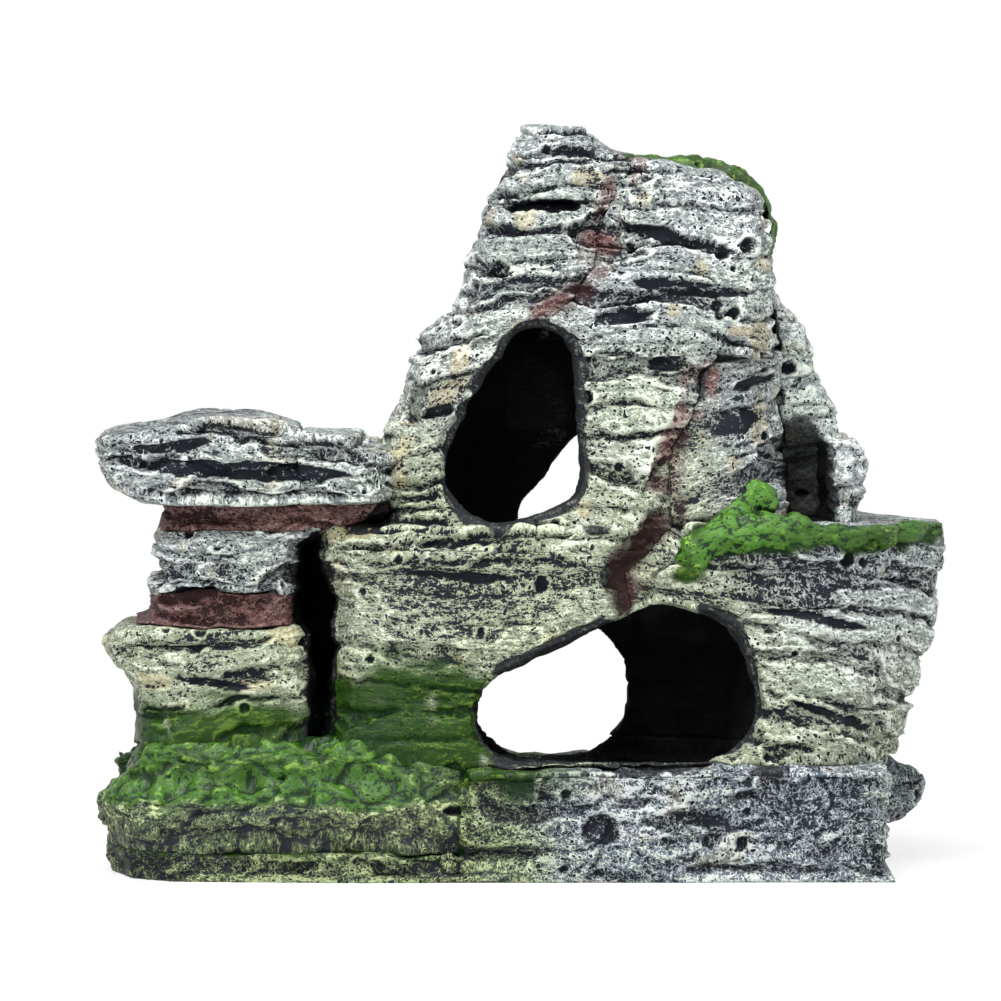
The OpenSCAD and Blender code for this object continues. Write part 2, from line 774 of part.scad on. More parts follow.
// Moss along the top edge of the buttress, out to its tip
module moss_tip() {
  x0 = GULLY[3].x + 20;
  r = moss_h * 0.85;
  run = tip_x - r - 0.6 - x0;
  y0 = cave_y0 + cave_lean + 1.2;
  moss()
    lumps([
      for (i = [0 : 10])
        [x0 + run * i / 10, y0 + 0.8 * (i % 2) + 11 * pow(i / 10, 3), cave_z1 - 1.4 + 0.5 * (i % 3)]
    ], r, 12);
}

// Moss over the summit's right shoulder and down its edge
module moss_summit() {
  y0 = summit_y0 + 3;
  moss()
    lumps([
      for (p = [
        [0.64, 0.905, 0], [0.69, 0.9, 4], [0.75, 0.895, 1], [0.81, 0.885, 5], [0.87, 0.88, 2], [0.905, 0.85, 4],
        [0.93, 0.81, 3], [0.94, 0.77, 6], [0.945, 0.73, 4], [0.95, 0.69, 7]
      ])
        let (at = on_peak(p[0], p[1])) [at.x, y0 + p[2], at.y]
    ], moss_h, 17);
}

base_plinth();
cave_wall_front();
right_buttress();
cave_wall_rear();
window_stone();
centre_stone();
flank_stone();
peak_wall_rear();
crown_left();
crown_right();
summit_cap();
rear_boulder();
rear_pinnacle();
side_pebble();
turret_foot();
turret_lower_band();
turret_middle_stone();
turret_upper_band();
turret_cap();
turret_shoulder();
moss_bank();
moss_shelf();
moss_tip();
moss_summit();
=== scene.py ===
import json
import math

import bmesh
import bpy
import numpy as np
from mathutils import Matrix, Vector


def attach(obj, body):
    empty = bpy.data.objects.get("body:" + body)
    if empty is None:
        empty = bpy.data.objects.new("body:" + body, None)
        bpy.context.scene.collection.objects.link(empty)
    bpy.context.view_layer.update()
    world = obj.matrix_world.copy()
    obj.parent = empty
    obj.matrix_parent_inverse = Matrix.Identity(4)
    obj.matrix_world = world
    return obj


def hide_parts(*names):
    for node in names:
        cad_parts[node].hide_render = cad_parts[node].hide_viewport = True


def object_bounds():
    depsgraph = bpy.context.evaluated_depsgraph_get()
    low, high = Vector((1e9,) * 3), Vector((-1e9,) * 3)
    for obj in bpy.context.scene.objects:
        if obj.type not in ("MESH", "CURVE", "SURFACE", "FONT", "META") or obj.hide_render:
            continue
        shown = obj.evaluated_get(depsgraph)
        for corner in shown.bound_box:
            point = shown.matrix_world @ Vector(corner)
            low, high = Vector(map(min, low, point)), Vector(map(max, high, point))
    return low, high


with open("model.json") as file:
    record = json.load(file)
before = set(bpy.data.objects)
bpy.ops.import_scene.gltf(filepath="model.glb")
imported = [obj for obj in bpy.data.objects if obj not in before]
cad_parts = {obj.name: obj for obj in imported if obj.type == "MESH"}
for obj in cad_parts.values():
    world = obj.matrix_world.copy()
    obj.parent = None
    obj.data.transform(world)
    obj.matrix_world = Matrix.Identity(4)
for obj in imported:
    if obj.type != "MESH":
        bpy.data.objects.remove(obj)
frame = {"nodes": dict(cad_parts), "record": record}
cad_lo, cad_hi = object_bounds()

# ---- Camera, floor and light -------------------------------------------------------------------
# The ornament stands on a white sheet under a broad overhead softbox, with a weaker one from the
# front left. The camera looks at it nearly level, from far off.
size = cad_hi - cad_lo
middle = (cad_lo + cad_hi) / 2
MM = 0.001

camera = bpy.data.objects.new("camera", bpy.data.cameras.new("camera"))
bpy.context.scene.collection.objects.link(camera)
far_off, camera_tilt = 0.9, math.radians(3)
half_view = 0.5855 * size.x
looked_at = Vector((middle.x - 0.023 * size.x, 0, cad_lo.z + 0.4913 * size.z))
camera.location = looked_at + far_off * Vector((0, -math.cos(camera_tilt), math.sin(camera_tilt)))
camera.rotation_euler = (math.pi / 2 - camera_tilt, 0, 0)
camera.data.sensor_width = 36
camera.data.lens = camera.data.sensor_width / 2 * far_off / half_view
camera.data.clip_start, camera.data.clip_end = 0.01, 20
bpy.context.scene.camera = camera
bpy.context.scene.view_settings.view_transform = "Standard"


class Wire:
    """A socket in a node tree. Arithmetic on wires adds Math nodes; any other node comes from node()."""

    def __init__(self, tree, socket=None):
        self.tree, self.socket = tree, socket

    def node(self, kind, values=None, out=0, **settings):
        """Adds a node of a kind: its settings first, then each socket's value or link. Gives one output."""
        made = self.tree.nodes.new(kind)
        for key, value in settings.items():
            setattr(made, key, value)
        for key, value in (values or {}).items():
            if isinstance(value, Wire):
                self.tree.links.new(value.socket, made.inputs[key])
            else:
                made.inputs[key].default_value = value
        return Wire(self.tree, made.outputs[out]) if made.outputs else made

    def math(self, operation, *values):
        return self.node("ShaderNodeMath", dict(enumerate(values)), operation=operation)

    def __add__(self, other):
        return self.math("ADD", self, other)

    def __sub__(self, other):
        return self.math("SUBTRACT", self, other)

    def __rsub__(self, other):
        return self.math("SUBTRACT", other, self)

    def __mul__(self, other):
        return self.math("MULTIPLY", self, other)

    __radd__, __rmul__ = __add__, __mul__

    def step(self, low, high):
        """Rises smoothly from 0 at low to 1 at high."""
        return self.node("ShaderNodeMapRange", {0: self, 1: low, 2: high}, interpolation_type="SMOOTHSTEP")

    def mix(self, low, high):
        """A colour between two colours, by this wire."""
        return self.node("ShaderNodeMix", {0: self, 6: low, 7: high}, 2, data_type="RGBA")


def new_material(name):
    """An empty material and a wire that starts its nodes."""
    material = bpy.data.materials.new(name)
    material.use_nodes = True
    material.node_tree.nodes.clear()
    return material, Wire(material.node_tree)


def on_show(start):
    """1 for rays from the camera and for rays that were mirrored or let through, and 0 for all others."""
    camera_ray, glossy, through = (start.node("ShaderNodeLightPath", out=i) for i in (0, 3, 6))
    return camera_ray.math("MAXIMUM", camera_ray, glossy.math("MAXIMUM", glossy, through))


floor_material, start = new_material("white_sheet")
place = start.node("ShaderNodeTexCoord", out=3)
distance = start.node("ShaderNodeVectorMath", {0: place}, 1, operation="LENGTH")
near_white, shadow_end, white_from = 0.72, 0.9 * size.x, 2.2 * size.x
glow = on_show(start) * (near_white + (1 - near_white) * distance.step(shadow_end, white_from))
paper = start.node("ShaderNodeBsdfDiffuse", {"Color": (0.86, 0.86, 0.86, 1)})
white = start.node("ShaderNodeEmission", {"Color": (1, 1, 1, 1), "Strength": 1.0})
start.node("ShaderNodeOutputMaterial", {0: start.node("ShaderNodeMixShader", {0: glow, 1: paper, 2: white})})
floor_mesh = bpy.data.meshes.new("floor")
reach = 4.0
corners = [(x * reach, y * reach, 0) for x, y in ((-1, -1), (1, -1), (1, 1), (-1, 1))]
floor_mesh.from_pydata(corners, [], [(0, 1, 2, 3)])
floor_mesh.materials.append(floor_material)
floor = bpy.data.objects.new("floor", floor_mesh)
bpy.context.scene.collection.objects.link(floor)
floor.location.z = cad_lo.z

world = bpy.data.worlds.new("studio")
bpy.context.scene.world = world
world.use_nodes = True
world.node_tree.nodes.clear()
start = Wire(world.node_tree)
room_light = start.node("ShaderNodeBackground", {"Color": (0.93, 0.96, 1, 1), "Strength": 0.55})
backdrop = start.node("ShaderNodeBackground", {"Color": (1, 1, 1, 1), "Strength": 1.0})
sky = start.node("ShaderNodeMixShader", {0: on_show(start), 1: room_light, 2: backdrop})
start.node("ShaderNodeOutputWorld", {0: sky})


def softbox(name, at, width, height, power):
    """A rectangular lamp at a place round the ornament, given in its own widths, aimed at its middle."""
    lamp = bpy.data.lights.new(name, "AREA")
    lamp.shape, lamp.size, lamp.size_y, lamp.energy = "RECTANGLE", width, height, power
    box = bpy.data.objects.new(name, lamp)
    bpy.context.scene.collection.objects.link(box)
    box.location = middle + size.x * Vector(at)
    box.rotation_euler = (middle - box.location).to_track_quat("-Z", "Y").to_euler()


softbox("overhead", (-0.4, -1.3, 3.0), width=0.3, height=0.25, power=3.0)
softbox("front", (-1.6, -3.2, 1.3), width=0.35, height=0.35, power=1.5)
softbox("side", (3.0, -1.2, 1.2), width=0.3, height=0.4, power=0.9)


# ---- The carved skin ---------------------------------------------------------------------------
# All the castings taken together, as the one broken rock face that the sculptor carved before the
# moulds were made. Each casting takes its relief and its paint from this skin, so that ledges,
# cracks and brush strokes run on across the bonded seams.
def read(data, key, width=3):
    """One value of each element of a mesh's data, as an array."""
    values = np.empty(len(data) * width, np.float32)
    data.foreach_get(key, values)
    return values.reshape(-1, width).astype(float) if width > 1 else values.astype(float)


def move(mesh, places):
    """Puts a mesh's vertices at an array of places."""
    mesh.vertices.foreach_set("co", places.astype(np.float32).ravel())
    mesh.update()


def store(mesh, name, values):
    """Keeps one number, arrow or colour for each vertex under a name."""
    kinds = {1: ("FLOAT", "value"), 3: ("FLOAT_VECTOR", "vector"), 4: ("FLOAT_COLOR", "color")}
    kind, key = kinds[1 if values.ndim == 1 else values.shape[1]]
    mesh.attributes.new(name, kind, "POINT").data.foreach_set(key, values.astype(np.float32).ravel())


def merged(names, swell=0.0):
    """One mesh of several nodes, its corners merged and moved outwards by a swell in metres."""
    shape = bmesh.new()
    for name in names:
        shape.from_mesh(frame["nodes"][name].data)
    bmesh.ops.remove_doubles(shape, verts=shape.verts, dist=1e-6)
    mesh = bpy.data.meshes.new("merged")
    shape.to_mesh(mesh)
    shape.free()
    mesh.materials.clear()
    if swell:
        move(mesh, read(mesh.vertices, "co") + swell * read(mesh.vertices, "normal"))
    return mesh


def remade(mesh, voxel, tree=None):
    """The mesh rebuilt in even squares of a voxel's size, then run through a geometry node tree if given."""
    holder = bpy.data.objects.new("holder", mesh)
    bpy.context.scene.collection.objects.link(holder)
    if voxel:
        squares = holder.modifiers.new("squares", "REMESH")
        squares.mode, squares.voxel_size, squares.use_smooth_shade = "VOXEL", voxel, True
    if tree:
        holder.modifiers.new("reader", "NODES").node_group = tree
    bpy.context.view_layer.update()
    made = bpy.data.meshes.new_from_object(holder.evaluated_get(bpy.context.evaluated_depsgraph_get()))
    bpy.data.objects.remove(holder)
    return made


def blurred(mesh, values, rounds):
    """Each vertex takes the mean of itself and its neighbours along the edges, several times over."""
    a, b = read(mesh.edges, "vertices", 2).astype(int).T
    count = len(mesh.vertices)
    share = 1 / (1 + np.bincount(a, minlength=count) + np.bincount(b, minlength=count))
    values = values.reshape(count, -1)
    for _ in range(rounds):
        total = values.copy()
        for axis in range(values.shape[1]):
            total[:, axis] += np.bincount(a, values[b, axis], count) + np.bincount(b, values[a, axis], count)
        values = total * share[:, None]
    return values


def new_tree(name):
    """An empty geometry node tree, the wire of its incoming mesh, and a call that sets its result."""
    tree = bpy.data.node_groups.new(name, "GeometryNodeTree")
    for way in ("INPUT", "OUTPUT"):
        tree.interface.new_socket("Mesh", in_out=way, socket_type="NodeSocketGeometry")
    start = Wire(tree)
    return tree, start.node("NodeGroupInput"), lambda result: start.node("NodeGroupOutput", {0: result})


def openness(mesh, rays=24, reach=50 * MM):
    """Share of the directions round each vertex, weighted by its normal, in which no rock is near.
    The directions wind round a ball in equal steps of height and of the golden angle."""
    tree, shape, give = new_tree("openness")
    normal = shape.node("GeometryNodeInputNormal")
    here = shape.node("GeometryNodeInputPosition")
    off = shape.node("ShaderNodeVectorMath", {0: normal, 3: 0.6 * MM}, operation="SCALE")
    here = shape.node("ShaderNodeVectorMath", {0: here, 1: off}, operation="ADD")
    clear, whole = 0.0, 0.0
    for i in range(rays):
        height = 1 - (2 * i + 1) / rays
        turn = i * math.pi * (3 - math.sqrt(5))
        level = math.sqrt(1 - height**2)
        way = (level * math.cos(turn), level * math.sin(turn), height)
        facing = shape.node("ShaderNodeVectorMath", {0: normal, 1: way}, 1, operation="DOT_PRODUCT")
        facing = facing.math("MAXIMUM", facing, 0.0)
        ray = {"Target Geometry": shape, "Source Position": here, "Ray Direction": way, "Ray Length": reach}
        clear = clear + facing * (1 - shape.node("GeometryNodeRaycast", ray, "Is Hit"))
        whole = whole + facing
    share = clear.math("DIVIDE", clear, whole)
    give(shape.node("GeometryNodeStoreNamedAttribute", {0: shape, "Name": "open", "Value": share}))
    return read(remade(mesh.copy(), 0, tree).attributes["open"].data, "value", 1)


def wall_under(mesh, reach=12 * MM):
    """How far it is from each point straight in to the other side of the wall, in metres."""
    tree, shape, give = new_tree("wall_under")
    normal = shape.node("GeometryNodeInputNamedAttribute", {"Name": "outward"}, data_type="FLOAT_VECTOR")
    inward = shape.node("ShaderNodeVectorMath", {0: normal, 3: -1.0}, operation="SCALE")
    here = shape.node("GeometryNodeInputPosition")
    step = shape.node("ShaderNodeVectorMath", {0: inward, 3: 0.2 * MM}, operation="SCALE")
    here = shape.node("ShaderNodeVectorMath", {0: here, 1: step}, operation="ADD")
    ray = {"Target Geometry": shape, "Source Position": here, "Ray Direction": inward, "Ray Length": reach}
    hit, gap = (shape.node("GeometryNodeRaycast", ray, key) for key in ("Is Hit", "Hit Distance"))
    value = hit * gap + (1 - hit) * reach
    give(shape.node("GeometryNodeStoreNamedAttribute", {0: shape, "Name": "wall", "Value": value}))
    return read(remade(mesh.copy(), 0, tree).attributes["wall"].data, "value", 1)


def from_moss(mesh):
    """Distance from each point to the nearest moss, in metres."""
    clumps = [name for name in frame["nodes"] if name.startswith("moss")]
    moss = bpy.data.objects.new("moss", merged(clumps))
    bpy.context.scene.collection.objects.link(moss)
    tree, shape, give = new_tree("from_moss")
    target = shape.node("GeometryNodeObjectInfo", {0: moss}, "Geometry")
    gap = shape.node("GeometryNodeProximity", {0: target}, "Distance", target_element="FACES")
    give(shape.node("GeometryNodeStoreNamedAttribute", {0: shape, "Name": "moss", "Value": gap}))
    gap = read(remade(mesh.copy(), 0, tree).attributes["moss"].data, "value", 1)
    bpy.data.objects.remove(moss)
    return gap


swell, square = 0.15 * MM, 0.65 * MM
skin_mesh = remade(merged(list(frame["nodes"]), swell), square)
places = read(skin_mesh.vertices, "co")
eased = blurred(skin_mesh, places, 8)
outward = blurred(skin_mesh, read(skin_mesh.vertices, "normal"), 3)
outward /= np.linalg.norm(outward, axis=1)[:, None]
opened = blurred(skin_mesh, openness(skin_mesh), 1)[:, 0]
edge = ((places - eased) * outward).sum(1) / MM
store(skin_mesh, "outward", outward)
store(skin_mesh, "ease", eased - places)
wall = blurred(skin_mesh, wall_under(skin_mesh), 2)[:, 0] / MM
store(skin_mesh, "light", np.column_stack([opened, edge, wall]))
to_moss = from_moss(skin_mesh) / MM
store(skin_mesh, "moss", np.column_stack([to_moss, to_moss, to_moss]))
skin = bpy.data.objects.new("skin", skin_mesh)
bpy.context.scene.collection.objects.link(skin)

GUIDES = ("outward", "ease", "light", "moss", "spot")
skin_reader, shape, give = new_tree("skin_reader")
skin_shape = shape.node("GeometryNodeObjectInfo", {0: skin}, "Geometry")
for name in GUIDES:
    if name == "spot":
        field = shape.node("GeometryNodeInputPosition")
    else:
        field = shape.node("GeometryNodeInputNamedAttribute", {"Name": name}, data_type="FLOAT_VECTOR")
    nearest = {"Mesh": skin_shape, "Value": field}
    nearest = shape.node("GeometryNodeSampleNearestSurface", nearest, data_type="FLOAT_VECTOR")
    kept = {0: shape, "Name": name, "Value": nearest}
    shape = shape.node("GeometryNodeStoreNamedAttribute", kept, data_type="FLOAT_VECTOR")
give(shape)


# ---- Foot --------------------------------------------------------------------------------------
# The long layered foot is the lowest casting, black stone-filled resin dry-brushed with bluish grey
# and white. The walls are bonded on top of it, and its flat underside rests on the gravel. A pebble
# of the same resin is bonded low on its right.
def chance(cell, seed):
    """A fixed number from 0 to 1 for each whole-number cell, by multiplying and shifting its three counts."""
    code = (cell[:, 0] * 73856093) ^ (cell[:, 1] * 19349663) ^ (cell[:, 2] * 83492791) ^ (seed * 40503)
    code &= 0xFFFFFFFF
    for shift, factor in ((15, 0x2C1B3C6D), (12, 0x297A2D39)):
        code = ((code ^ (code >> shift)) * factor) & 0xFFFFFFFF
    return (code ^ (code >> 15)) / 2.0**32


def wander(at, seed=0):
    """Smooth noise from -1 to 1: the corners of each unit cell hold chance numbers, blended by a cubic."""
    cell = np.floor(at).astype(np.int64)
    part = at - cell
    part = part * part * (3 - 2 * part)
    total = 0
    for corner in range(8):
        d = np.array([corner & 1, corner >> 1 & 1, corner >> 2])
        total = total + np.prod(np.where(d, part, 1 - part), axis=1) * chance(cell + d, seed)
    return 2 * total - 1


def nearest_seeds(at, seed=0):
    """Distances to the nearest two of one random point in each unit cell, the nearest one's own number,
    and the way from it."""
    cell = np.floor(at).astype(np.int64)
    best, second, number = np.full(len(at), 9.0), np.full(len(at), 9.0), np.zeros(len(at))
    way = np.zeros((len(at), 3))
    for corner in range(27):
        near = cell + np.array([corner % 3 - 1, corner // 3 % 3 - 1, corner // 9 - 1])
        from_spot = at - near - np.stack([chance(near, seed + 11 * axis) for axis in range(3)], 1)
        gap = np.linalg.norm(from_spot, axis=1)
        closer = gap < best
        second = np.where(closer, best, np.minimum(second, gap))
        best = np.where(closer, gap, best)
        number = np.where(closer, chance(near, seed + 77), number)
        way = np.where(closer[:, None], from_spot, way)
    return best, second, number, way


def ramp(values, low, high):
    """Rises smoothly from 0 at low to 1 at high."""
    t = np.clip((values - low) / (high - low), 0, 1)
    return t * t * (3 - 2 * t)


def over(at, x, y, z):
    """Places divided by a length in mm along each axis."""
    return at / np.array([x, y, z])


def beds(at, bed, thick, long, seed):
    """How far each point lies back in its bed, from 0 to 1, and how deep in a crack between two beds.
    The place in the stack of beds is the bedded height over a bed's thickness. Each bed has its own slow
    wander along its length, and each crack opens and widens only where a wander of its own is high."""
    level = bed / thick + 0.8 * wander(np.column_stack([bed / thick / 2.1, at[:, :2] / 24]), seed)
    along = at[:, :2] / long
    own = wander(np.column_stack([along, np.floor(level) * 5.31]), seed + 1)
    broken = np.tanh(6 * wander(np.column_stack([along * 2.4, np.floor(level) * 9.17]), seed + 2))
    split = wander(np.column_stack([along * 1.5, np.round(level) * 3.73]), seed + 3)
    from_crack = np.abs(level - np.round(level))
    back = 0.5 - 0.34 * own - 0.16 * broken + 0.35 * ramp(from_crack, 0.14, 0.0)
    crack = ramp(split, 0.0, 0.25) * ramp(from_crack, 0.1 + 0.22 * ramp(split, 0.0, 0.7), 0.03)
    return back, crack


def front(u, v):
    """A place in the front view, in mm, from shares of the ornament's whole width and height."""
    return np.array([cad_lo.x + u * size.x, cad_lo.z + v * size.z]) / MM


def from_line(at, points):
    """Distance in the front view from each place to a line through points, in mm."""
    flat = at[:, [0, 2]]
    best = np.full(len(at), 1e9)
    for a, b in zip(points[:-1], points[1:]):
        t = np.clip(((flat - a) @ (b - a)) / ((b - a) @ (b - a)), 0, 1)
        best = np.minimum(best, np.linalg.norm(flat - a - t[:, None] * (b - a), axis=1))
    return best


def from_openings(at, facing):
    """Distance in mm from each place to the nearest of the openings that the record keeps free, and how far
    its surface faces that opening, as the cosine of the angle."""
    best, seen = np.full(len(at), 1e9), np.zeros(len(at))
    for opening in frame["record"]["physics"]["openings"]:
        low, high = np.array(opening["box_m"]) / MM
        way = np.clip(at, low, high) - at
        gap = np.linalg.norm(way, axis=1) + 1e-6
        seen = np.where(gap < best, (way * facing).sum(1) / gap, seen)
        best = np.minimum(best, gap)
    return best, seen


def mixed(a, b, t):
    """Colours between a and b."""
    return a + (b - a) * t[:, None]


# Gashes cut by hand in the front: the shares of width and height of each one's middle, then half its
# length and height in mm, its tilt in degrees and its depth in mm. Round holes: the same shares, and
# the radius in mm. The gully runs down the front through these shares.
GASHES = [
    (0.678, 0.853, 9.5, 0.9, -14, 1.6), (0.70, 0.786, 9.0, 1.1, -5, 1.1),
    (0.184, 0.544, 16, 1.2, -3, 1.1), (0.10, 0.575, 6.0, 0.8, 8, 0.8), (0.863, 0.213, 7.5, 0.8, -19, 1.0),
    (0.84, 0.345, 8.0, 0.9, -12, 0.9), (0.587, 0.069, 2.6, 2.2, 0, 1.6), (0.70, 0.085, 5.0, 0.9, -6, 1.0),
    (0.672, 0.683, 3.0, 1.2, 0, 1.2), (0.613, 0.751, 4.0, 1.4, 12, 0.9), (0.36, 0.47, 7.0, 0.7, 3, 0.9),
    (0.43, 0.40, 8.0, 0.7, -3, 0.8), (0.40, 0.625, 3.5, 0.9, 8, 0.9), (0.75, 0.60, 4.0, 1.3, 14, 1.1),
    (0.77, 0.655, 3.5, 1.0, 14, 1.0), (0.47, 0.86, 4.0, 0.9, 8, 0.8), (0.12, 0.37, 5.0, 0.9, 4, 0.9),
    (0.15, 0.26, 6.0, 0.8, -8, 0.8), (0.505, 0.897, 8.5, 0.8, -2, 1.9), (0.452, 0.808, 4.5, 0.7, -4, 1.4)]
HOLES = [
    (0.626, 0.844, 1.0), (0.763, 0.84, 1.3), (0.734, 0.833, 1.2), (0.729, 0.765, 0.8), (0.731, 0.751, 0.8),
    (0.814, 0.672, 1.2), (0.573, 0.639, 1.2), (0.71, 0.954, 0.6), (0.02, 0.279, 1.4), (0.83, 0.50, 0.9),
    (0.255, 0.313, 0.9), (0.275, 0.40, 0.7), (0.12, 0.46, 0.8), (0.52, 0.455, 0.7), (0.655, 0.345, 0.9)]
GULLY = [front(*p) for p in (
    (0.62, 0.37), (0.615, 0.42), (0.65, 0.46), (0.672, 0.49), (0.674, 0.57), (0.7, 0.61), (0.714, 0.67))]


def by_hand(at, out):
    """Depth of the hand-cut gashes and holes at each place of the front, in mm: flat-bottomed long
    ovals with ragged edges, and round bowls, with the raised lip that each bowl has."""
    ragged = np.column_stack([wander(at / 3.1, 51), wander(at / 1.6, 52)]) * (0.9, 0.3)
    cut, lip = np.zeros(len(at)), np.zeros(len(at))
    flat = at[:, [0, 2]] + ragged
    for u, v, long, high, tilt, deep in GASHES:
        c, s = math.cos(math.radians(tilt)), math.sin(math.radians(tilt))
        from_middle = (flat - front(u, v)) @ np.array([[c, -s], [s, c]])
        oval = np.abs(from_middle[:, 0] / long) ** 2.5 + (from_middle[:, 1] / high) ** 2
        cut = np.maximum(cut, deep * ramp(oval, 1.25, 0.6))
    for u, v, radius in HOLES:
        gap = np.linalg.norm(at[:, [0, 2]] - front(u, v), axis=1) / radius
        cut = np.maximum(cut, 1.5 * radius * np.sqrt(np.clip(1 - gap**2, 0, 1)))
        lip = np.maximum(lip, np.exp(-(((gap - 1.2) / 0.2) ** 2)))
    facing = ramp(-out[:, 1], 0.15, 0.5) * ramp(at[:, 1], 2, -2)
    return cut * facing, lip * facing


def dry_brushed(name, long, high, net, hole, gloss, shine=0.12):
    """Black resin with paint dragged over its high spots. Streaks are noise drawn out by long and high mm
    along the beds, the net is thin lines where two more such noises pass a middle value, and pins and holes
    are random cells. Their sum, with the casting's own lift, decides where the brush touched, and it also
    raises the surface. Calm paint is smoother and glossier."""
    material, start = new_material(name)
    place = start.node("ShaderNodeTexCoord", out=3)
    place = start.node("ShaderNodeVectorMath", {0: place, 3: 1 / MM}, operation="SCALE")
    x, y = (start.node("ShaderNodeSeparateXYZ", {0: place}, i) for i in range(2))

    def own(key, out=2):
        return start.node("ShaderNodeAttribute", out=out, attribute_name=key)

    def along(length, height):
        scaled = {0: x * (1 / length), 1: y * (1 / length), 2: own("bed") * (1 / height)}
        return start.node("ShaderNodeCombineXYZ", scaled)

    def grain(at, scale, detail):
        kept = {"Vector": at, "Scale": scale, "Detail": detail, "Roughness": 0.65}
        return start.node("ShaderNodeTexNoise", kept)

    streaks = grain(along(long, high), 1.0, 3)
    specks = grain(along(0.55, 0.34), 1.0, 2)
    tiny = start.node("ShaderNodeTexVoronoi", {"Vector": place, "Scale": 1.25})
    pins = (1 - tiny.step(0.2, 0.27)) * grain(place, 0.45, 1).step(0.42, 0.55)
    weave = grain(along(long * 0.55, high * 1.5), 1.0, 3)
    lines = 1 - weave.math("ABSOLUTE", weave - 0.5).step(0.01, 0.04)
    weave = grain(along(long * 0.8, high * 1.9), 1.0, 2)
    lines = lines + (1 - weave.math("ABSOLUTE", weave - 0.45).step(0.008, 0.03)) * 0.7
    shift = start.node("ShaderNodeTexNoise", {"Vector": place, "Scale": 0.7, "Detail": 2}, 1)
    bent = start.node("ShaderNodeVectorMath", {0: shift, 3: 1.4}, operation="SCALE")
    bent = start.node("ShaderNodeVectorMath", {0: bent, 1: along(hole, hole * 0.8)}, operation="ADD")
    bubble = start.node("ShaderNodeTexVoronoi", {"Vector": bent, "Scale": 1.0})
    where = (own("bubbly") + grain(place, 0.3, 1) - 0.5).step(0.1, 0.4)
    holes = (1 - bubble.step(0.2, 0.27)) * where
    rims = bubble.step(0.2, 0.27) * (1 - bubble.step(0.32, 0.4)) * where
    calm = own("calm")
    rugged = 1 - calm * 0.55
    height = streaks + ((specks - 0.5) * 0.75 + lines * net - pins * 0.45) * rugged - holes * 0.8 + rims * 0.2
    touch = height + own("lift") - (0.465 + net * 0.3 * rugged)
    body, crest = touch.step(-0.1, -0.03), touch.step(0.11, 0.38)
    crest = crest.math("MAXIMUM", crest, lines * (1 - calm) * touch.step(-0.1, 0.08) * 0.4)
    colour = crest.mix(body.mix(own("shade", 0), own("body", 0)), own("crest", 0))
    raised = start.node("ShaderNodeBump", {"Height": height, "Strength": 0.8, "Distance": 0.4 * MM})
    rough = 0.6 + crest * 0.12 - gloss - calm * 0.26
    kept = {"Base Color": colour, "Roughness": rough, "Normal": raised, "Specular IOR Level": shine}
    start.node("ShaderNodeOutputMaterial", {0: start.node("ShaderNodeBsdfPrincipled", kept)})
    return material


def inside(at, facing, opened):
    """What is inside the cave, what lies near its openings and what is closed in, from 0 to 1: where the
    casting is painted near black, partly as the black resin the brush never reached and partly as painted
    shade. It takes what faces an opening and is half closed in, and what is closed in nearly all round, but
    not what faces straight to the front or rear. The front of the gully doesn't count as near an opening."""
    outer = ramp(facing[:, 1] * np.sign(at[:, 1]), 0.35, 0.6)
    gap, seen = from_openings(at, facing)
    within = ramp(gap, 11, 9) * (1 - ramp(from_line(at, GULLY), 4.5, 3) * ramp(at[:, 1], -16, -19))
    inner = within * ramp(seen, -0.1, 0.2) * ramp(opened + 0.04 * wander(at / 1.5, 8), 0.72, 0.62)
    return (1 - outer) * np.maximum(inner, ramp(opened, 0.35, 0.27)), within


def ledges(at, ragged, strength):
    """Relief in mm of the beds, and of long sunk and proud bands along them. Gives it with three masks: the
    cracks and sunk bands, the proud bands, and the rims of the sunk ones."""
    flow = np.column_stack([at[:, :2], ragged])
    band = wander(over(flow, 14, 14, 3.2), 21) + 0.4 * wander(over(flow, 4.6, 4.6, 1.4), 22) - 0.04
    sunk, proud = ramp(band, 0.1, 0.3) * strength, ramp(band, -0.1, -0.5) * strength
    rim = ramp(band, -0.05, 0.03) * ramp(band, 0.13, 0.07) * strength
    bed_thick, bed_long = 5.0, 12
    back, crack = beds(at, ragged, bed_thick, bed_long, 20)
    relief = strength * (1.5 * back + crack) + 1.25 * sunk - 0.35 * proud - 0.25 * rim
    return relief, np.maximum(crack * strength, 0.6 * sunk), proud, rim


def bubbles(at, share):
    """Round bubble pits in a share of random cells, wider where the cell's number is high. Gives each place's
    depth as a share of the radius, the radius in mm, and the lip raised round the pit."""
    cell = 4.6
    gap, _, number, _ = nearest_seeds(at / cell, 60)
    radius = (0.07 + 0.18 * number**3) * (number > 1 - share * ramp(wander(at / 10, 64), -0.6, 0.3))
    pit = np.sqrt(np.clip(1 - (gap / (radius + 1e-6)) ** 2, 0, 1)) * (radius > 0)
    return pit, radius * cell, np.exp(-(((gap - radius * 1.2) / 0.04) ** 2)) * (radius > 0)


def chunks(at, out):
    """Relief in mm of broken chunks, which are the tilted faces of flat random cells with a groove between,
    and the rims along the grooves."""
    bent = at + 1.4 * np.stack([wander(at / 4, 61 + axis) for axis in range(3)], 1)
    gap, second, number, way = nearest_seeds(over(bent, 12, 12, 5.2), 70)
    turned, turned_on = out[:, [1, 2, 0]], out[:, [2, 0, 1]]
    slope = np.sin(9 * number)[:, None] * turned + np.cos(23 * number)[:, None] * turned_on
    relief = 0.5 + 1.4 * (way * slope).sum(1) + 0.7 * ramp(second - gap, 0.09, 0.0)
    return relief, ramp(second - gap, 0.09, 0.13) * ramp(second - gap, 0.22, 0.17)


